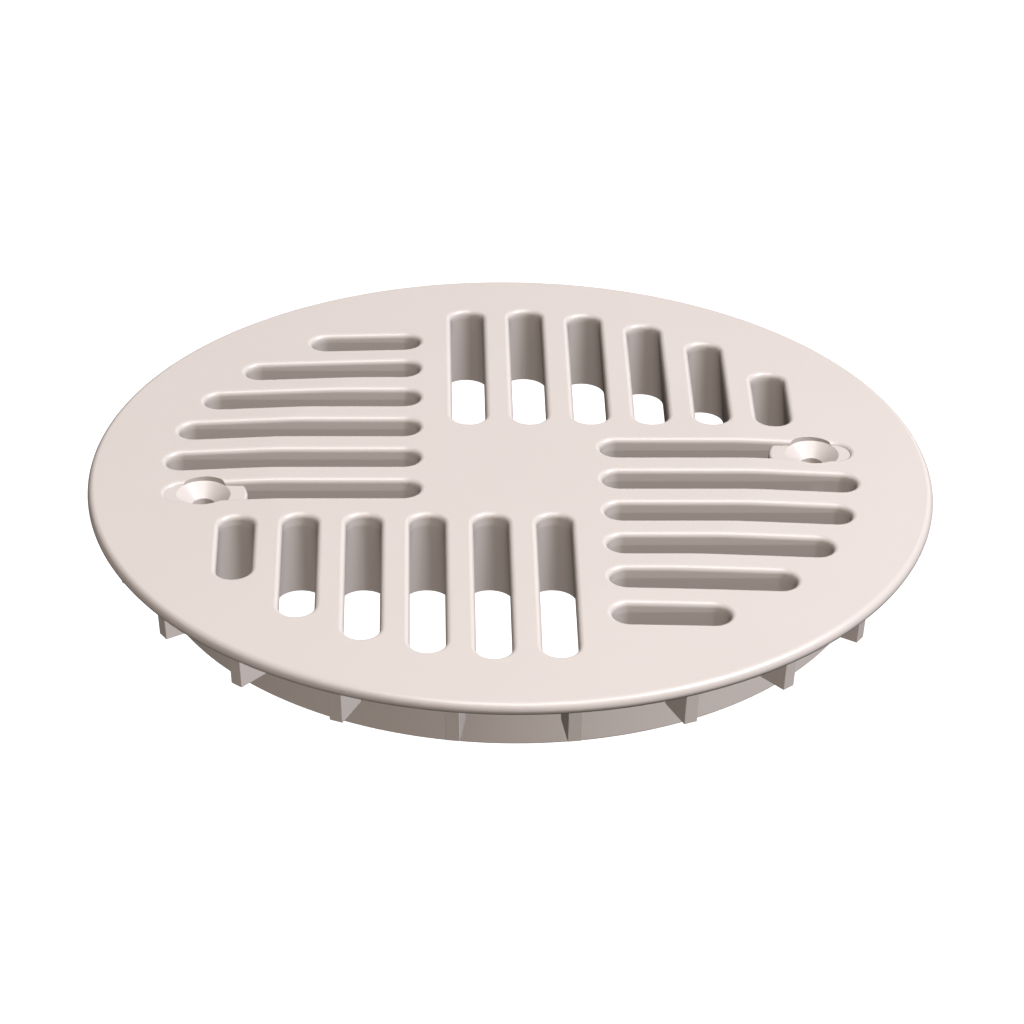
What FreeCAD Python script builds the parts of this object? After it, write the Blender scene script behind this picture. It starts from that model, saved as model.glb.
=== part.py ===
# Round floor drain grate: a one-piece plastic moulding with a slotted plate, a skirt that drops into the
# drain, ribs under the flange and two countersunk screw eyes.
# Millimetres. The origin is the centre of the skirt's lower edge, +Z is up, and the first slots run along X.
import FreeCAD, Part
import Sketcher
import math
import os

V = FreeCAD.Vector
UP = V(0, 0, 1)
START, END, CENTRE = 1, 2, 3    # the points of a sketched line or arc
ORIGIN = (-1, START)            # the sketch's own origin

# Driving dimensions
SIZES = {
    # plate, rim and skirt
    "rim_diameter": 150.0,
    "rim_thickness": 2.4,
    "rim_bevel": 0.8,
    "total_height": 16.5,
    "flat_diameter": 86.0,     # level middle of the plate, before it falls away to the rim
    "fall_angle": 2.8,         # degrees
    "fall_blend": 60.0,        # radius between the level middle and the fall
    "flange_width": 11.0,      # rim past the skirt
    # slots, in four groups turned about the middle
    "slot_width": 6.0,
    "bar_width": 5.05,
    "slot_shift": 7.2,         # first slot of a group, past the centre line
    "cross_bar": 6.0,          # bar between the inner ends of one group and the side of the next
    "skirt_wall": 2.6,         # wall outside the slot ends
    "slot_shortest": 8.0,      # least straight length of a slot
    "mouth_bevel": 0.8,
    "land_depth": 2.4,         # straight wall under the mouth
    "slot_spread": 1.2,        # widening of each slot wall from the land to the lower edge
    # ribs under the flange
    "rib_reach": 7.0,          # lower edge of a rib past the skirt
    "rib_draft": 4.5,          # degrees, lean of a rib's outer edge
    "rib_thickness": 2.4,
    "rib_lift": 4.8,           # lower edge of the ribs above the skirt's
    "rib_turn": -0.6,          # degrees, first rib from the X axis
    # screw eyes in the outer ends of two slots
    "eye_setback": 6.7,        # hole from the outer end of its slot
    "eye_diameter": 15.6,
    "eye_depth": 1.4,          # floor of the eye below the plate
    "eye_rounding": 0.6,
    "bore_diameter": 4.0,
    "sink_diameter": 9.6,
    "sink_depth": 2.0,
    # hollows that keep the thick places to an even wall, open below
    "plate_thickness": 3.0,
    "core_wall": 2.2,
    "core_rounding": 3.0,
    # length by which cuts and joined roots run past a face
    "overrun": 1.0,
}
SLOT_GROUPS = 4
EYES = 2
RIBS = 22

doc = FreeCAD.newDocument("FloorDrainGrate")
sheet = doc.addObject("Spreadsheet::Sheet", "Sizes")
for row, (name, number) in enumerate(SIZES.items(), start=1):
    sheet.set("A%d" % row, name)
    sheet.set("B%d" % row, str(number))
    sheet.setAlias("B%d" % row, name)
doc.recompute()

body = doc.addObject("PartDesign::Body", "Grate")
body.Label = "grate"

# Sizes that follow from the driving dimensions
RIM_RADIUS = "Sizes.rim_diameter / 2"
FLAT_RADIUS = "Sizes.flat_diameter / 2"
SKIRT_RADIUS = "(%s - Sizes.flange_width)" % RIM_RADIUS
RIM_EDGE = "(%s - Sizes.rim_bevel)" % RIM_RADIUS
FALL = "(%s - %s) * tan(Sizes.fall_angle)" % (RIM_RADIUS, FLAT_RADIUS)
UNDERSIDE = "(Sizes.total_height - %s - Sizes.rim_thickness)" % FALL
RIM_TOP = "%s + Sizes.rim_thickness" % UNDERSIDE    # where the fall would meet the rim's side
SLOT_PITCH = "(Sizes.slot_width + Sizes.bar_width)"
SLOT_RADIUS = "Sizes.slot_width / 2"
SLOT_START = "(Sizes.slot_shift + Sizes.slot_width + Sizes.cross_bar)"    # centres of the inner ends
SLOT_END_CIRCLE = "(%s - Sizes.skirt_wall - %s)" % (SKIRT_RADIUS, SLOT_RADIUS)
THROAT_DEPTH = "(Sizes.total_height - Sizes.land_depth)"
THROAT_HALF = "(%s + Sizes.slot_spread)" % SLOT_RADIUS
EYE_END = "sqrt(pow(%s; 2) - pow(Sizes.slot_shift; 2)) + %s" % (SLOT_END_CIRCLE, SLOT_RADIUS)
EYE_REACH = "(%s - Sizes.eye_setback)" % EYE_END
EYE_FLOOR = "(Sizes.total_height - Sizes.eye_depth)"
CORE_DEPTH = "Sizes.total_height - Sizes.plate_thickness"
CORE_SIDE = "2 * (%s - %s - Sizes.core_wall)" % (SLOT_START, THROAT_HALF)
CORE_RADIUS = "(%s - Sizes.core_wall)" % SKIRT_RADIUS


def value(expression):
    result = sheet.evalExpression(expression)
    return float(getattr(result, "Value", result))


def slot_shift(number):
    return "Sizes.slot_shift - %d * %s" % (number, SLOT_PITCH)


def slots_that_fit():
    # Each further slot of a group is shorter, and the last one keeps a least straight length.
    reach = math.sqrt(value(SLOT_END_CIRCLE) ** 2 - value(SLOT_START + " + Sizes.slot_shortest") ** 2)
    return 1 + int((reach + value("Sizes.slot_shift")) / value(SLOT_PITCH))


def origin_feature(role):
    return next(part for part in body.Origin.OriginFeatures if part.Role == role)


def new_sketch(name, plane, **offsets):
    sketch = body.newObject("Sketcher::SketchObject", name)
    sketch.AttachmentSupport = (origin_feature(plane), [""])
    sketch.MapMode = "FlatFace"
    for axis, expression in offsets.items():
        sketch.setExpression("AttachmentOffset.Base." + axis, expression)
    return sketch


def rule(sketch, kind, *where):
    return sketch.addConstraint(Sketcher.Constraint(kind, *where))


def size(sketch, kind, *where, to):
    index = rule(sketch, kind, *where, value(to))
    sketch.setExpression("Constraints[%d]" % index, to)


def place(sketch, geometry, point, right=None, up=None):
    # Dimensions from the sketch's origin to a point.
    if right:
        size(sketch, "DistanceX", *ORIGIN, geometry, point, to=right)
    if up:
        size(sketch, "DistanceY", *ORIGIN, geometry, point, to=up)


def draw_loop(sketch, corners):
    # Straight lines through the corners, each level or upright where it is drawn so.
    points = [V(value(right), value(up)) for right, up in corners]
    lines = []
    for here, there in zip(points, points[1:] + points[:1]):
        lines.append(sketch.addGeometry(Part.LineSegment(here, there)))
    for before, line in zip(lines[-1:] + lines[:-1], lines):
        rule(sketch, "Coincident", before, END, line, START)
    for line, here, there in zip(lines, points, points[1:] + points[:1]):
        if math.isclose(here.y, there.y):
            rule(sketch, "Horizontal", line)
        elif math.isclose(here.x, there.x):
            rule(sketch, "Vertical", line)
    return lines


def round_corner(sketch, line, radius):
    # Rounds the end of a line, and keeps the sharp corner as a point that the dimensions hold.
    trim, keep_corner = True, True
    sketch.fillet(line, END, value(radius), trim, keep_corner)
    arcs = [index for index, part in enumerate(sketch.Geometry) if isinstance(part, Part.ArcOfCircle)]
    size(sketch, "Radius", arcs[-1], to=radius)


def turned(kind, name, sketch):
    feature = body.newObject("PartDesign::" + kind, name)
    feature.Profile = sketch
    feature.ReferenceAxis = (sketch, ["V_Axis"])
    feature.Angle = 360
    doc.recompute()
    return feature


def pocket(name, sketch, length, upward, taper=None):
    feature = body.newObject("PartDesign::Pocket", name)
    feature.Profile = sketch
    feature.Reversed = upward
    feature.setExpression("Length", length)
    if taper:
        feature.setExpression("TaperAngle", taper)
    doc.recompute()
    return feature


def around(name, originals, count):
    pattern = body.newObject("PartDesign::PolarPattern", name)
    pattern.Originals = originals
    pattern.Axis = (origin_feature("Z_Axis"), [""])
    pattern.Angle = 360
    pattern.Occurrences = count
    body.Tip = pattern
    doc.recompute()
    return pattern


def make_plate():
    # Half section of the plate, rim, flange and skirt.
    sketch = new_sketch("PlateSection", "XZ_Plane")
    shoulder = RIM_TOP + " + Sizes.rim_bevel * tan(Sizes.fall_angle)"
    corners = [
        ("0", "0"),
        (SKIRT_RADIUS, "0"),
        (SKIRT_RADIUS, UNDERSIDE),
        (RIM_EDGE, UNDERSIDE),
        (RIM_RADIUS, UNDERSIDE + " + Sizes.rim_bevel"),
        (RIM_RADIUS, RIM_TOP + " - Sizes.rim_bevel"),
        (RIM_EDGE, shoulder),
        (FLAT_RADIUS, "Sizes.total_height"),
        ("0", "Sizes.total_height"),
    ]
    floor, wall, seat, lower, rim, upper, fall, level, axis = draw_loop(sketch, corners)
    rule(sketch, "Coincident", floor, START, *ORIGIN)
    place(sketch, wall, START, right=SKIRT_RADIUS)
    place(sketch, lower, START, right=RIM_EDGE, up=UNDERSIDE)
    place(sketch, rim, START, right=RIM_RADIUS, up=UNDERSIDE + " + Sizes.rim_bevel")
    place(sketch, rim, END, up=RIM_TOP + " - Sizes.rim_bevel")
    place(sketch, fall, START, right=RIM_EDGE, up=shoulder)
    place(sketch, level, START, right=FLAT_RADIUS, up="Sizes.total_height")
    round_corner(sketch, fall, "Sizes.fall_blend")
    return turned("Revolution", "Plate", sketch)


def draw_slot(sketch, number, end_circle):
    # Two half circles and two level lines. The outer half circle's centre lies on the end circle.
    radius = value(SLOT_RADIUS)
    height = value(slot_shift(number))
    near = V(value(SLOT_START), height)
    far = V(math.sqrt(value(SLOT_END_CIRCLE) ** 2 - height ** 2), height)
    side = V(0, radius)
    quarter = math.pi / 2
    inner = sketch.addGeometry(Part.ArcOfCircle(Part.Circle(near, UP, radius), quarter, 3 * quarter))
    lower = sketch.addGeometry(Part.LineSegment(near - side, far - side))
    outer = sketch.addGeometry(Part.ArcOfCircle(Part.Circle(far, UP, radius), -quarter, quarter))
    upper = sketch.addGeometry(Part.LineSegment(far + side, near + side))
    for here, there in ((inner, lower), (lower, outer), (outer, upper), (upper, inner)):
        rule(sketch, "Tangent", here, END, there, START)
    rule(sketch, "Horizontal", lower)
    rule(sketch, "Horizontal", upper)
    rule(sketch, "PointOnObject", outer, CENTRE, end_circle)
    size(sketch, "Radius", inner, to=SLOT_RADIUS)
    place(sketch, inner, CENTRE, right=SLOT_START, up=slot_shift(number))


def make_slots():
    # One group of slots, straight through the land and widening below it, and its three turned copies.
    sketch = new_sketch("SlotGroup", "XY_Plane", z=THROAT_DEPTH)
    construction = True
    circle = Part.Circle(V(0, 0), UP, value(SLOT_END_CIRCLE))
    end_circle = sketch.addGeometry(circle, construction)
    rule(sketch, "Coincident", end_circle, CENTRE, *ORIGIN)
    size(sketch, "Radius", end_circle, to=SLOT_END_CIRCLE)
    for number in range(slots_that_fit()):
        draw_slot(sketch, number, end_circle)
    land = pocket("SlotLand", sketch, "Sizes.land_depth + Sizes.overrun", True)
    throat = pocket("SlotThroat", sketch, THROAT_DEPTH + " + Sizes.overrun", False,
                    "atan(Sizes.slot_spread / %s)" % THROAT_DEPTH)
    return around("SlotGroups", [land, throat], SLOT_GROUPS)


def mouth_edges(shape):
    # Edges of the plate's upper faces that no other upper face shares, inside the skirt.
    nearly_level = 0.9
    shares = {}
    for face in shape.Faces:
        first, last, low, high = face.ParameterRange
        normal = face.normalAt((first + last) / 2, (low + high) / 2)
        if normal.z > nearly_level and face.BoundBox.ZMin > value(UNDERSIDE):
            for edge in face.Edges:
                shares[edge.hashCode()] = shares.get(edge.hashCode(), 0) + 1
    names = []
    for index, edge in enumerate(shape.Edges, start=1):
        middle = edge.valueAt((edge.FirstParameter + edge.LastParameter) / 2)
        inside = math.hypot(middle.x, middle.y) < value(SKIRT_RADIUS)
        if inside and shares.get(edge.hashCode()) == 1:
            names.append("Edge%d" % index)
    return names


def bevel_mouths(slots):
    bevel = body.newObject("PartDesign::Chamfer", "SlotMouths")
    bevel.Base = (slots, mouth_edges(slots.Shape))
    bevel.setExpression("Size", "Sizes.mouth_bevel")
    doc.recompute()
    return bevel


def make_eyes():
    # A round post fills the end of the first slot, up to a floor just below the plate.
    sketch = new_sketch("EyeSection", "XZ_Plane", x=EYE_REACH, z="-Sizes.slot_shift")
    radius = "Sizes.eye_diameter / 2"
    corners = [("0", "0"), (radius, "0"), (radius, EYE_FLOOR), ("0", EYE_FLOOR)]
    foot, side, floor, axis = draw_loop(sketch, corners)
    rule(sketch, "Coincident", foot, START, *ORIGIN)
    place(sketch, side, END, right=radius, up=EYE_FLOOR)
    round_corner(sketch, side, "Sizes.eye_rounding")
    return around("Eyes", [turned("Revolution", "Eye", sketch)], EYES)


def make_screw_holes():
    # Bore, countersink and the clearance above it, which bites into the bars beside the slot.
    sketch = new_sketch("ScrewHoleSection", "XZ_Plane", x=EYE_REACH, z="-Sizes.slot_shift")
    bore = "Sizes.bore_diameter / 2"
    sink = "Sizes.sink_diameter / 2"
    below = "-Sizes.overrun"
    above = "Sizes.total_height + Sizes.overrun"
    neck = EYE_FLOOR + " - Sizes.sink_depth"
    corners = [("0", below), (bore, below), (bore, neck), (sink, EYE_FLOOR), (sink, above), ("0", above)]
    foot, barrel, cone, wall, lid, axis = draw_loop(sketch, corners)
    rule(sketch, "PointOnObject", axis, START, -2)
    place(sketch, barrel, START, right=bore, up=below)
    place(sketch, cone, START, up=neck)
    place(sketch, wall, START, right=sink, up=EYE_FLOOR)
    place(sketch, wall, END, up=above)
    return around("ScrewHoles", [turned("Groove", "ScrewHole", sketch)], EYES)


def make_ribs():
    sketch = new_sketch("RibOutline", "XZ_Plane")
    sketch.AttachmentOffset = FreeCAD.Placement(V(), FreeCAD.Rotation(V(0, 1, 0), SIZES["rib_turn"]))
    sketch.setExpression("AttachmentOffset.Rotation.Angle", "Sizes.rib_turn")
    root = SKIRT_RADIUS + " - Sizes.overrun"
    foot = "Sizes.rib_lift"
    top = UNDERSIDE + " + Sizes.overrun"
    tip = SKIRT_RADIUS + " + Sizes.rib_reach"
    upper_tip = "%s + (%s - %s) * tan(Sizes.rib_draft)" % (tip, top, foot)
    corners = [(root, foot), (tip, foot), (upper_tip, top), (root, top)]
    lower, outer, upper, inner = draw_loop(sketch, corners)
    place(sketch, lower, START, right=root, up=foot)
    place(sketch, outer, START, right=tip)
    place(sketch, upper, START, right=upper_tip, up=top)
    rib = body.newObject("PartDesign::Pad", "Rib")
    rib.Profile = sketch
    rib.SideType = "Symmetric"
    rib.setExpression("Length", "Sizes.rib_thickness")
    doc.recompute()
    return around("Ribs", [rib], RIBS)


def make_middle_core():
    half = CORE_SIDE + " / 2"
    sketch = new_sketch("MiddleCore", "XY_Plane")
    minus = "-(%s)" % half
    corners = [(minus, minus), (half, minus), (half, half), (minus, half)]
    lines = draw_loop(sketch, corners)
    place(sketch, lines[0], START, right=minus, up=minus)
    place(sketch, lines[2], START, right=half, up=half)
    for line in lines:
        round_corner(sketch, line, "Sizes.core_rounding")
    return pocket("MiddleHollow", sketch, CORE_DEPTH, True)


def make_corner_cores():
    # Three-sided hollows between the shortest slots, the first slots of the next group and the skirt.
    right = "Sizes.slot_shift + %s + Sizes.core_wall" % THROAT_HALF
    down = "%s - %s - Sizes.core_wall" % (slot_shift(slots_that_fit() - 1), THROAT_HALF)
    radius = value(CORE_RADIUS)
    corner = V(value(right), value(down))
    if corner.Length + value("Sizes.core_wall") > radius:
        return
    foot = V(corner.x, -math.sqrt(radius ** 2 - corner.x ** 2))
    end = V(math.sqrt(radius ** 2 - corner.y ** 2), corner.y)
    sketch = new_sketch("CornerCore", "XY_Plane")
    upright = sketch.addGeometry(Part.LineSegment(corner, foot))
    circle = Part.Circle(V(0, 0), UP, radius)
    bow = sketch.addGeometry(Part.ArcOfCircle(circle, math.atan2(foot.y, foot.x), math.atan2(end.y, end.x)))
    level = sketch.addGeometry(Part.LineSegment(end, corner))
    for here, there in ((upright, bow), (bow, level), (level, upright)):
        rule(sketch, "Coincident", here, END, there, START)
    rule(sketch, "Vertical", upright)
    rule(sketch, "Horizontal", level)
    rule(sketch, "Coincident", bow, CENTRE, *ORIGIN)
    size(sketch, "Radius", bow, to=CORE_RADIUS)
    place(sketch, upright, START, right=right, up=down)
    around("CornerHollows", [pocket("CornerHollow", sketch, CORE_DEPTH, True)], SLOT_GROUPS)


def check_model():
    for part in doc.Objects:
        if "Invalid" in part.State or "Error" in part.State:
            raise RuntimeError("%s failed" % part.Label)
    if body.Shape.isNull() or not body.Shape.isValid() or len(body.Shape.Solids) != 1:
        raise RuntimeError("the grate is not one valid solid")


make_plate()
bevel_mouths(make_slots())
make_eyes()
make_screw_holes()
make_ribs()
make_middle_core()
make_corner_cores()
doc.recompute()
check_model()

os.makedirs("parts", exist_ok=True)
body.Shape.exportStep(os.path.join("parts", body.Label + ".step"))
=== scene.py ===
import math
import bpy
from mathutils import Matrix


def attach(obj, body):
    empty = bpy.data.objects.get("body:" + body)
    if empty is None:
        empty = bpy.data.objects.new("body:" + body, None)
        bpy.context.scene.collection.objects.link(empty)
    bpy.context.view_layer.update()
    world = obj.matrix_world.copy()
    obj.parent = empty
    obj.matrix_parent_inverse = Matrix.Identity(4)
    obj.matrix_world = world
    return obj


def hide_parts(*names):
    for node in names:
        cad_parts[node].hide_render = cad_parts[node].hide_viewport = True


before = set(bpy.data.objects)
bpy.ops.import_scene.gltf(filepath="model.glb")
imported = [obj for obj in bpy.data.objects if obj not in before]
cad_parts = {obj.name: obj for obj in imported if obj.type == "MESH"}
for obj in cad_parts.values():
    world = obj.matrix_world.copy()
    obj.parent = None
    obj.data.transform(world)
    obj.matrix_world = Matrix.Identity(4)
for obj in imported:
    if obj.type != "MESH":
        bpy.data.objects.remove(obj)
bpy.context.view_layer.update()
print("frame loaded")

# how the nodes of a tree are spread out in the editor
nodesInColumn = 10
columnStep = 220
rowStep = 190

mergeDistance = 0.002    # millimetres, closes the seams of a turned or raised shape
roundingSteps = 8        # round one corner


# an output socket that can be used in sums
class Wire:
    def __init__(self, socket):
        self.socket = socket
        self.tree = socket.id_data

    def __neg__(self):
        return calc("SUBTRACT", 0.0, self)

    def __add__(self, other):
        return calc("ADD", self, other)

    def __sub__(self, other):
        return calc("SUBTRACT", self, other)

    def __rsub__(self, other):
        return calc("SUBTRACT", other, self)

    def __mul__(self, other):
        return calc("MULTIPLY", self, other)

    def __rmul__(self, other):
        return calc("MULTIPLY", other, self)

    def __truediv__(self, other):
        return calc("DIVIDE", self, other)

    def __rtruediv__(self, other):
        return calc("DIVIDE", other, self)


def fill(socket, value):
    if isinstance(value, list):    # a socket that takes several wires
        for wire in value:
            fill(socket, wire)
    elif isinstance(value, Wire):
        value.tree.links.new(value.socket, socket)
    else:
        socket.default_value = value


def addNode(tree, kind, inputs=None, **settings):
    node = tree.nodes.new(kind)
    column, row = divmod(len(tree.nodes), nodesInColumn)
    node.location = (column * columnStep, -row * rowStep)
    for name, value in settings.items():
        setattr(node, name, value)
    for name, value in (inputs or {}).items():
        fill(node.inputs[name], value)
    return node


def wireFrom(tree, kind, inputs=None, out=0, **settings):
    return Wire(addNode(tree, kind, inputs, **settings).outputs[out])


def calc(operation, first, second=0.0):
    tree = (first if isinstance(first, Wire) else second).tree
    return wireFrom(tree, "ShaderNodeMath", {0: first, 1: second}, operation=operation)


def atLeast(first, second):
    return calc("MAXIMUM", first, second)


def atMost(first, second):
    return calc("MINIMUM", first, second)


def squareRoot(first):
    return calc("SQRT", first)


def point(tree, x, y, z):
    return wireFrom(tree, "ShaderNodeCombineXYZ", {0: x, 1: y, 2: z})


def axesOf(vector):
    node = addNode(vector.tree, "ShaderNodeSeparateXYZ", {0: vector})
    return [Wire(socket) for socket in node.outputs]


# a different value for each point of a short list
def byNumber(tree, kind, values):
    node = addNode(tree, "GeometryNodeIndexSwitch", data_type=kind)
    while len(node.index_switch_items) < len(values):
        node.index_switch_items.new()
    fill(node.inputs["Index"], wireFrom(tree, "GeometryNodeInputIndex"))
    for number, value in enumerate(values):
        fill(node.inputs[str(number)], value)
    return Wire(node.outputs[0])


# keeps a field on the points that it has now
def keepField(tree, shape, kind, field):
    node = addNode(tree, "GeometryNodeCaptureAttribute")
    node.capture_items.new(kind, "kept")
    fill(node.inputs[0], shape)
    fill(node.inputs[1], field)
    return Wire(node.outputs[0]), Wire(node.outputs[1])


def mergePoints(tree, shape, distance=mergeDistance):
    return wireFrom(tree, "GeometryNodeMergeByDistance", {"Geometry": shape, "Distance": distance})


def joinShapes(tree, shapes):
    return wireFrom(tree, "GeometryNodeJoinGeometry", {"Geometry": shapes})


def moveShape(tree, shape, x=0.0, y=0.0, z=0.0):
    step = point(tree, x, y, z)
    return wireFrom(tree, "GeometryNodeTransform", {"Geometry": shape, "Translation": step})


def placePoints(tree, shape, place):
    return wireFrom(tree, "GeometryNodeSetPosition", {"Geometry": shape, "Position": place})


# copies at even steps about Z
def around(tree, shape, count, turn=0.0):
    dots = wireFrom(tree, "GeometryNodePoints", {"Count": count})
    angle = wireFrom(tree, "GeometryNodeInputIndex") * (math.tau / count) + turn
    rotation = wireFrom(tree, "FunctionNodeEulerToRotation", {0: point(tree, 0.0, 0.0, angle)})
    inputs = {"Points": dots, "Instance": shape, "Rotation": rotation}
    copies = wireFrom(tree, "GeometryNodeInstanceOnPoints", inputs)
    return wireFrom(tree, "GeometryNodeRealizeInstances", {"Geometry": copies})


def cutAway(tree, body, tools):
    inputs = {0: body, 1: tools}
    return wireFrom(tree, "GeometryNodeMeshBoolean", inputs, operation="DIFFERENCE", solver="MANIFOLD")


def fuse(tree, bodies):
    return wireFrom(tree, "GeometryNodeMeshBoolean", {1: bodies}, operation="UNION", solver="MANIFOLD")


def roundCorners(tree, line, radius, steps=roundingSteps):
    inputs = {"Curve": line, "Count": steps, "Radius": radius}
    return wireFrom(tree, "GeometryNodeFilletCurve", inputs, mode="POLY")


# open line through corners, some of them rounded
def drawLine(tree, corners, roundings=None):
    places = byNumber(tree, "VECTOR", [point(tree, *corner) for corner in corners])
    dots = wireFrom(tree, "GeometryNodePoints", {"Count": len(corners), "Position": places})
    line = wireFrom(tree, "GeometryNodePointsToCurves", {"Points": dots})
    line = wireFrom(tree, "GeometryNodeCurveSplineType", {"Curve": line}, spline_type="POLY")
    if roundings:
        line = roundCorners(tree, line, byNumber(tree, "FLOAT", roundings))
    return line


def roundedRectangle(tree, width, depth, rounding, steps=roundingSteps):
    sides = {"Width": width, "Height": depth}
    outline = wireFrom(tree, "GeometryNodeCurvePrimitiveQuadrilateral", sides)
    return roundCorners(tree, outline, rounding, steps)


# tube of a line carried round a ring, with the column and the line's own place kept on each point
def tubeOf(tree, line, columns):
    ring = wireFrom(tree, "GeometryNodeCurvePrimitiveCircle", {"Resolution": columns}, mode="RADIUS")
    number = wireFrom(tree, "GeometryNodeSplineParameter", out="Index")
    ring, column = keepField(tree, ring, "FLOAT", number)
    line, section = keepField(tree, line, "VECTOR", wireFrom(tree, "GeometryNodeInputPosition"))
    tube = wireFrom(tree, "GeometryNodeCurveToMesh", {"Curve": ring, "Profile Curve": line})
    return wireFrom(tree, "GeometryNodeFlipFaces", {"Mesh": tube}), column, section


# section of (radius, height) corners, turned about Z
def turnSection(tree, corners, roundings, columns):
    line = drawLine(tree, [(radius, height, 0.0) for radius, height in corners], roundings)
    tube, column, section = tubeOf(tree, line, columns)
    radius, height = axesOf(section)[:2]
    angle = column * (math.tau / columns)
    place = point(tree, radius * calc("COSINE", angle), radius * calc("SINE", angle), height)
    return mergePoints(tree, placePoints(tree, tube, place))


# closed upright prism on a flat outline
def raisePrism(tree, outline, low, high):
    face = wireFrom(tree, "GeometryNodeFillCurve", {"Curve": outline}, mode="NGONS")
    up = point(tree, 0.0, 0.0, 1.0)
    inputs = {"Mesh": face, "Offset": up, "Offset Scale": high - low, "Individual": False}
    walls = wireFrom(tree, "GeometryNodeExtrudeMesh", inputs, mode="FACES")
    foot = wireFrom(tree, "GeometryNodeFlipFaces", {"Mesh": face})
    return moveShape(tree, mergePoints(tree, joinShapes(tree, [walls, foot])), z=low)


# millimetres, degrees and counts
grate = {
    "rimDiameter": 150.0,
    "rimThickness": 2.4,
    "rimRounding": 1.3,
    "rimUnderRounding": 1.08,
    "totalHeight": 16.5,
    "flatDiameter": 86.0,     # level middle of the plate
    "fallAngle": 2.8,         # fall from the level middle to the rim
    "fallBlend": 60.0,        # radius between the two
    "flangeWidth": 11.0,
    "slotGroups": 4,
    "slotsInGroup": 6,
    "slotWidth": 6.0,
    "barWidth": 5.05,
    "slotShift": 7.2,         # first slot of a group, past the centre line
    "crossBar": 6.0,
    "skirtWall": 2.6,
    "mouthRounding": 1.0,
    "landDepth": 2.4,
    "slotSpread": 1.2,        # widening of each slot wall down to the lower edge
    "ribs": 22,
    "ribReach": 7.0,          # at the lower edge
    "ribDraft": 4.5,          # lean of the outer edge
    "ribThickness": 2.4,
    "ribLift": 4.8,
    "ribTurn": -0.6,
    "ribRounding": 0.12,
    "eyes": 2,
    "eyeSetback": 6.7,        # hole from the outer end of its slot
    "eyeDiameter": 15.6,
    "eyeDepth": 1.4,
    "eyeRounding": 0.6,
    "boreDiameter": 4.0,
    "sinkDiameter": 9.6,
    "sinkDepth": 2.0,
    "plateThickness": 3.0,    # left above the hollows in the underside
    "coreWall": 2.2,
    "coreRounding": 3.0,
    "footRounding": 0.3,
}
angleNames = ("fallAngle", "ribDraft", "ribTurn")    # the sizes in degrees

rimColumns = 240
eyeColumns = 72
endColumns = 20        # round one slot end
sideColumns = 16       # along one slot side
ribSteps = 4           # round one edge of a rib
bowSteps = 12          # along the skirt in a corner hollow
over = 1.0             # cuts run past a face by this much
crease = 0.08          # rows this close to the land's lower edge keep its shading crisp
mouthTurn = 84.0       # degrees of a mouth's rounding, which then runs straight on
brinkReach = 0.4       # length of the straight run, along the plate
brinkRise = 0.037      # end of the straight run, just clear of the plate
lastMerge = 0.001      # points this close are one in the finished shape
sharpAngle = 34.0      # degrees, past which an edge isn't smoothed
metresPerMillimetre = 0.001
flatFaceWeight = 100   # share of the larger faces in the smoothed shading


def plateBody(tree, sizes):
    fallTan = calc("TANGENT", sizes["fallAngle"])
    rim = sizes["rimDiameter"] / 2.0
    flat = sizes["flatDiameter"] / 2.0
    skirt = rim - sizes["flangeWidth"]
    top = sizes["totalHeight"]
    rimTop = top - (rim - flat) * fallTan
    seat = rimTop - sizes["rimThickness"]
    foot = sizes["footRounding"]
    corners = [(0.0, 0.0), (skirt, 0.0), (skirt, seat), (rim, seat), (rim, rimTop), (flat, top), (0.0, top)]
    roundings = [0.0, foot, foot, sizes["rimUnderRounding"], sizes["rimRounding"], sizes["fallBlend"], 0.0]
    return turnSection(tree, corners, roundings, rimColumns), skirt, seat


# how far the plate has fallen at a radius
def plateDrop(sizes, radius):
    angle = sizes["fallAngle"]
    blend = sizes["fallBlend"]
    start = sizes["flatDiameter"] / 2.0 - blend * calc("TANGENT", angle / 2.0)
    reach = blend * calc("SINE", angle)
    past = radius - start
    bend = atMost(atLeast(past, 0.0), reach)
    bentDrop = blend - squareRoot(blend * blend - bend * bend)
    straightDrop = atLeast(past - reach, 0.0) * calc("TANGENT", angle)
    return bentDrop + straightDrop


# centres of the inner ends, from the centre line
def slotStart(sizes):
    return sizes["slotShift"] + sizes["slotWidth"] + sizes["crossBar"]


# circle through the centres of the outer ends
def slotEndCircle(sizes, skirt):
    return skirt - sizes["skirtWall"] - sizes["slotWidth"] / 2.0


# centre line of a slot, counted from 0
def slotMiddle(sizes, number):
    return sizes["slotShift"] - number * (sizes["slotWidth"] + sizes["barWidth"])


# half width of a slot at the lower edge
def slotFoot(sizes):
    return sizes["slotWidth"] / 2.0 + sizes["slotSpread"]


# wall of a slot from foot to mouth: offset from the slot's edge, height,
# and 1 where the height follows the plate's fall
def slotWall(sizes):
    top = sizes["totalHeight"]
    land = top - sizes["landDepth"]
    half = sizes["slotWidth"] / 2.0
    lean = sizes["slotSpread"] / land
    rounding = sizes["mouthRounding"]
    rows = [(-half, -over, 0.0)]
    rows.append((sizes["slotSpread"] + lean * over, -over, 0.0))
    rows.append((lean * crease, land - crease, 0.0))
    rows.append((0.0, land, 0.0))
    rows.append((0.0, land + crease, 0.0))
    lastTurn = math.radians(mouthTurn)
    for step in range(roundingSteps):
        turn = lastTurn * step / (roundingSteps - 1)
        rows.append((rounding * (1.0 - math.cos(turn)), top - rounding * (1.0 - math.sin(turn)), 1.0))
    brink = rounding * (1.0 - math.cos(lastTurn)) + brinkReach
    rows.append((brink, top + brinkRise, 1.0))
    rows.append((brink, top + 2.0 * over, 1.0))
    rows.append((-half, top + 2.0 * over, 1.0))
    return rows


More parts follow.
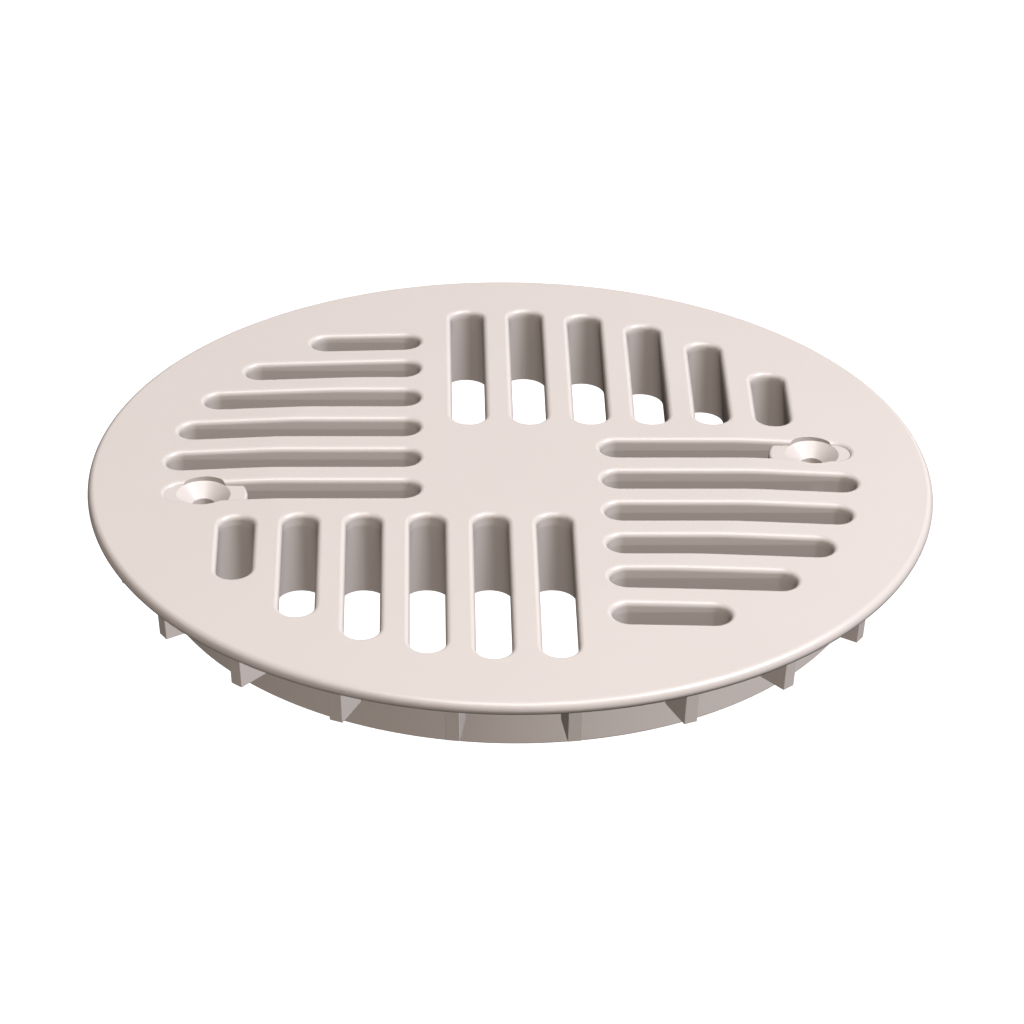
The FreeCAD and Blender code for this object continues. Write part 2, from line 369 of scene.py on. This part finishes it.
def slotTools(tree, sizes, skirt):
    half = sizes["slotWidth"] / 2.0
    inner = slotStart(sizes)
    endCircle = slotEndCircle(sizes, skirt)
    perSide = endColumns + sideColumns
    tube, column, section = tubeOf(tree, drawLine(tree, slotWall(sizes)), 2 * perSide)
    dots = wireFrom(tree, "GeometryNodePoints", {"Count": sizes["slotsInGroup"]})
    dots, number = keepField(tree, dots, "FLOAT", wireFrom(tree, "GeometryNodeInputIndex"))
    tubes = wireFrom(tree, "GeometryNodeInstanceOnPoints", {"Points": dots, "Instance": tube})
    tubes = wireFrom(tree, "GeometryNodeRealizeInstances", {"Geometry": tubes})
    # each outline: outer end, far side, inner end, near side
    run = calc("FLOOR", (column + 0.5) / perSide)    # 0 from the outer end on, 1 from the inner end on
    step = column - run * perSide
    along = atLeast((step - endColumns) / sideColumns, 0.0)
    angle = (run + atMost(step / endColumns, 1.0) - 0.5) * math.pi
    share = 1.0 - along - run + 2.0 * run * along    # 1 at the outer end, 0 at the inner end
    offset, height, follow = axesOf(section)
    middle = slotMiddle(sizes, number)
    outer = squareRoot(endCircle * endCircle - middle * middle)
    x = inner + (outer - inner) * share + (half + offset) * calc("COSINE", angle)
    y = middle + (half + offset) * calc("SINE", angle)
    z = height - follow * plateDrop(sizes, squareRoot(x * x + y * y))
    group = mergePoints(tree, placePoints(tree, tubes, point(tree, x, y, z)))
    return around(tree, group, sizes["slotGroups"])


def eyeCentre(sizes, skirt):
    half = sizes["slotWidth"] / 2.0
    shift = sizes["slotShift"]
    endCircle = slotEndCircle(sizes, skirt)
    reach = squareRoot(endCircle * endCircle - shift * shift) + half - sizes["eyeSetback"]
    return reach, shift


def eyePosts(tree, sizes, skirt):
    radius = sizes["eyeDiameter"] / 2.0
    floor = sizes["totalHeight"] - sizes["eyeDepth"]
    corners = [(0.0, 0.0), (radius, 0.0), (radius, floor), (0.0, floor)]
    post = turnSection(tree, corners, [0.0, sizes["footRounding"], sizes["eyeRounding"], 0.0], eyeColumns)
    x, y = eyeCentre(sizes, skirt)
    return around(tree, moveShape(tree, post, x, y), sizes["eyes"])


def screwHoles(tree, sizes, skirt):
    bore = sizes["boreDiameter"] / 2.0
    sink = sizes["sinkDiameter"] / 2.0
    floor = sizes["totalHeight"] - sizes["eyeDepth"]
    neck = floor - sizes["sinkDepth"]
    above = sizes["totalHeight"] + over
    corners = [(0.0, -over), (bore, -over), (bore, neck), (sink, floor), (sink, above), (0.0, above)]
    hole = turnSection(tree, corners, None, eyeColumns)
    x, y = eyeCentre(sizes, skirt)
    return around(tree, moveShape(tree, hole, x, y), sizes["eyes"])


def ribSet(tree, sizes, skirt, seat):
    length = sizes["ribReach"] + over
    outline = roundedRectangle(tree, length, sizes["ribThickness"], sizes["ribRounding"], ribSteps)
    rib = raisePrism(tree, outline, sizes["ribLift"], seat + over)
    root = skirt - over
    rib = moveShape(tree, rib, root + length / 2.0)
    x, y, z = axesOf(wireFrom(tree, "GeometryNodeInputPosition"))
    lean = (x - root) / length * (z - sizes["ribLift"]) * calc("TANGENT", sizes["ribDraft"])
    rib = placePoints(tree, rib, point(tree, x + lean, y, z))
    return around(tree, rib, sizes["ribs"], sizes["ribTurn"])


def middleHollow(tree, sizes, roof):
    side = 2.0 * (slotStart(sizes) - slotFoot(sizes) - sizes["coreWall"])
    outline = roundedRectangle(tree, side, side, sizes["coreRounding"])
    return raisePrism(tree, outline, -over, roof)


# three-sided hollows between the last slot, the next group's first slot and the skirt
def cornerHollows(tree, sizes, skirt, roof):
    foot = slotFoot(sizes)
    reach = skirt - sizes["coreWall"]
    right = sizes["slotShift"] + foot + sizes["coreWall"]
    down = slotMiddle(sizes, sizes["slotsInGroup"] - 1.0) - foot - sizes["coreWall"]
    start = calc("ARCTAN2", -squareRoot(reach * reach - right * right), right)
    end = calc("ARCTAN2", down, squareRoot(reach * reach - down * down))
    corners = [(right, down, 0.0)]
    for step in range(bowSteps + 1):
        angle = start + (end - start) * (step / bowSteps)
        corners.append((reach * calc("COSINE", angle), reach * calc("SINE", angle), 0.0))
    outline = drawLine(tree, corners)
    outline = wireFrom(tree, "GeometryNodeSetSplineCyclic", {"Geometry": outline, "Cyclic": True})
    return around(tree, raisePrism(tree, outline, -over, roof), sizes["slotGroups"])


def smoothFaces(tree, shape):
    shape = wireFrom(tree, "GeometryNodeSetShadeSmooth", {0: shape}, domain="FACE")
    bend = wireFrom(tree, "GeometryNodeInputMeshEdgeAngle")
    limits = {0: bend, 1: math.radians(sharpAngle)}
    sharp = wireFrom(tree, "FunctionNodeCompare", limits, operation="GREATER_THAN")
    inputs = {0: shape, "Selection": sharp, "Shade Smooth": False}
    return wireFrom(tree, "GeometryNodeSetShadeSmooth", inputs, domain="EDGE")


def grateTree():
    tree = bpy.data.node_groups.new("grate", "GeometryNodeTree")
    tree.interface.new_socket("Geometry", in_out="OUTPUT", socket_type="NodeSocketGeometry")
    for name, value in grate.items():
        kind = "NodeSocketInt" if isinstance(value, int) else "NodeSocketFloat"
        tree.interface.new_socket(name, in_out="INPUT", socket_type=kind)
    tree.interface.new_socket("plastic", in_out="INPUT", socket_type="NodeSocketMaterial")
    entry = addNode(tree, "NodeGroupInput")
    sizes = {name: Wire(entry.outputs[name]) for name in grate}
    for name in angleNames:
        sizes[name] = calc("RADIANS", sizes[name])
    plate, skirt, seat = plateBody(tree, sizes)
    shape = fuse(tree, [plate, ribSet(tree, sizes, skirt, seat)])
    roof = sizes["totalHeight"] - sizes["plateThickness"]
    hollows = [middleHollow(tree, sizes, roof), cornerHollows(tree, sizes, skirt, roof)]
    shape = cutAway(tree, shape, [slotTools(tree, sizes, skirt)] + hollows)
    shape = fuse(tree, [shape, eyePosts(tree, sizes, skirt)])
    shape = cutAway(tree, shape, screwHoles(tree, sizes, skirt))
    shape = mergePoints(tree, shape, lastMerge)
    scale = (metresPerMillimetre, metresPerMillimetre, metresPerMillimetre)
    shape = wireFrom(tree, "GeometryNodeTransform", {"Geometry": shape, "Scale": scale})
    shape = smoothFaces(tree, shape)
    shape = wireFrom(tree, "GeometryNodeRealizeInstances", {"Geometry": shape})
    finish = {"Geometry": shape, "Material": Wire(entry.outputs["plastic"])}
    shape = wireFrom(tree, "GeometryNodeSetMaterial", finish)
    fill(addNode(tree, "NodeGroupOutput").inputs["Geometry"], shape)
    return tree


def bakeGrate(material):
    tree = grateTree()
    work = bpy.data.objects.new("grateNodes", bpy.data.meshes.new("grateNodes"))
    bpy.context.scene.collection.objects.link(work)
    nodes = work.modifiers.new("grate", "NODES")
    nodes.node_group = tree
    sockets = {item.name: item.identifier for item in tree.interface.items_tree if item.in_out == "INPUT"}
    for name, value in grate.items():
        nodes[sockets[name]] = value
    nodes[sockets["plastic"]] = material
    # flat faces stay flat beside their roundings
    normals = work.modifiers.new("normals", "WEIGHTED_NORMAL")
    normals.keep_sharp = True
    normals.weight = flatFaceWeight
    evaluated = work.evaluated_get(bpy.context.evaluated_depsgraph_get())
    mesh = bpy.data.meshes.new_from_object(evaluated)
    bpy.data.objects.remove(work)
    mesh.name = "grateBody"
    piece = bpy.data.objects.new("grateBody", mesh)
    bpy.context.scene.collection.objects.link(piece)
    return piece


plastic = {
    "colour": (0.800, 0.722, 0.676),
    "shade": (0.780, 0.700, 0.652),
    "clouds": {"Scale": 22.0, "Detail": 3.0, "Roughness": 0.5},    # between the two colours
    "roughness": 0.38,
    "roughnessSwing": 0.04,
    "flow": {"Scale": 90.0, "Detail": 4.0, "Roughness": 0.6},      # of the roughness
    "grain": {"Scale": 1400.0, "Detail": 2.0},
    "grainHeight": 0.00001,
    "grainStrength": 0.5,
    "ior": 1.49,
    "specularLevel": 0.9,
}
# colour sockets of a Mix node
mixFirst = 6
mixSecond = 7
mixResult = 2


def noise(tree, place, pattern):
    return wireFrom(tree, "ShaderNodeTexNoise", {"Vector": place, **pattern})


def plasticMaterial():
    material = bpy.data.materials.new("warmWhitePlastic")
    material.use_nodes = True
    tree = material.node_tree
    shader = tree.nodes["Principled BSDF"]
    place = wireFrom(tree, "ShaderNodeTexCoord", out="Object")
    clouds = noise(tree, place, plastic["clouds"])
    tones = {"Factor": clouds, mixFirst: (*plastic["shade"], 1.0), mixSecond: (*plastic["colour"], 1.0)}
    fill(shader.inputs["Base Color"], wireFrom(tree, "ShaderNodeMix", tones, mixResult, data_type="RGBA"))
    flow = noise(tree, place, plastic["flow"])
    swing = plastic["roughnessSwing"]
    fill(shader.inputs["Roughness"], flow * (2.0 * swing) + (plastic["roughness"] - swing))
    grain = noise(tree, place, plastic["grain"])
    relief = {"Strength": plastic["grainStrength"], "Distance": plastic["grainHeight"], "Height": grain}
    fill(shader.inputs["Normal"], wireFrom(tree, "ShaderNodeBump", relief))
    shader.inputs["IOR"].default_value = plastic["ior"]
    shader.inputs["Specular IOR Level"].default_value = plastic["specularLevel"]
    return material


# metres and watts
studio = {
    "floorReach": 6.0,
    "floorColour": (0.34, 0.34, 0.34),
    "floorRoughness": 0.9,
    "floorGlow": 0.95,
    "skyColour": (1.0, 0.93, 0.87),
    "skyStrength": 0.11,
    "lamps": {
        "key": {"place": (1.79, -0.47, 2.36), "size": 0.7, "power": 83.0, "colour": (0.985, 1.005, 1.055)},
        "fill": {"place": (-0.567, -2.271, 1.875), "size": 0.9, "power": 32.0, "colour": (1.0, 0.93, 0.87)},
        "back": {"place": (0.0, 2.92, 0.7), "size": 0.9, "power": 30.0, "colour": (1.0, 0.95, 0.91)},
        "frontSheen": {"place": (0.0, -0.85, 2.27), "size": 1.3, "power": 22.0, "colour": (0.98, 1.0, 1.02)},
        "sideSheen": {"place": (1.2, 2.4, 0.8), "size": 1.2, "power": 4.5, "colour": (0.98, 1.0, 1.02)},
    },
    "glossOnly": ("frontSheen", "sideSheen"),    # show in the gloss, and light nothing
    "diffuseOnly": ("fill", "back"),             # light the walls, and don't show in the gloss
}


def addFloor():
    mesh = bpy.data.meshes.new("floor")
    reach = studio["floorReach"]
    corners = [(-reach, -reach, 0.0), (reach, -reach, 0.0), (reach, reach, 0.0), (-reach, reach, 0.0)]
    mesh.from_pydata(corners, [], [(0, 1, 2, 3)])
    floor = bpy.data.objects.new("floor", mesh)
    bpy.context.scene.collection.objects.link(floor)
    material = bpy.data.materials.new("paleFloor")
    material.use_nodes = True
    tree = material.node_tree
    shader = tree.nodes["Principled BSDF"]
    shader.inputs["Base Color"].default_value = (*studio["floorColour"], 1.0)
    shader.inputs["Roughness"].default_value = studio["floorRoughness"]
    shader.inputs["Emission Color"].default_value = (1.0, 1.0, 1.0, 1.0)
    # the glow lifts the floor in the picture, and lights nothing
    seen = wireFrom(tree, "ShaderNodeLightPath", out="Is Camera Ray")
    fill(shader.inputs["Emission Strength"], seen * studio["floorGlow"])
    mesh.materials.append(material)


def addSky():
    world = bpy.data.worlds.new("studio")
    bpy.context.scene.world = world
    world.use_nodes = True
    sky = world.node_tree.nodes["Background"]
    sky.inputs["Color"].default_value = (*studio["skyColour"], 1.0)
    sky.inputs["Strength"].default_value = studio["skyStrength"]


# soft lamp that faces the grate and casts no shadow
def addLamp(name, place, size, power, colour):
    lamp = bpy.data.lights.new(name, "AREA")
    lamp.shape = "DISK"
    lamp.size = size
    lamp.energy = power
    lamp.color = colour
    lamp.use_shadow = False
    lamp.cycles.max_bounces = 0
    light = bpy.data.objects.new(name, lamp)
    light.location = place
    x, y, z = place
    tilt = math.atan2(math.hypot(x, y), z)
    swing = math.atan2(y, x) + math.pi / 2
    light.rotation_euler = (tilt, 0.0, swing)
    light.visible_diffuse = name not in studio["glossOnly"]
    light.visible_glossy = name not in studio["diffuseOnly"]
    bpy.context.scene.collection.objects.link(light)


camera = {
    "place": (-0.017414, -0.665752, 0.399756),
    "turn": (59.484, -0.664, -1.136),    # degrees: tilt from straight down, roll, swing
    "lens": 152.04,
    "sensor": 36.0,
}


def addCamera():
    data = bpy.data.cameras.new("camera")
    data.lens = camera["lens"]
    data.sensor_width = camera["sensor"]
    data.sensor_fit = "HORIZONTAL"
    view = bpy.data.objects.new("camera", data)
    view.location = camera["place"]
    view.rotation_euler = [math.radians(angle) for angle in camera["turn"]]
    bpy.context.scene.collection.objects.link(view)
    bpy.context.scene.camera = view


grateBody = bakeGrate(plasticMaterial())
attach(grateBody, "root")
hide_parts("grate")
print("grate made:", len(grateBody.data.polygons), "faces")

addFloor()
addSky()
for name, lamp in studio["lamps"].items():
    addLamp(name, **lamp)
addCamera()
bpy.context.scene.view_settings.view_transform = "Standard"
print("studio set")
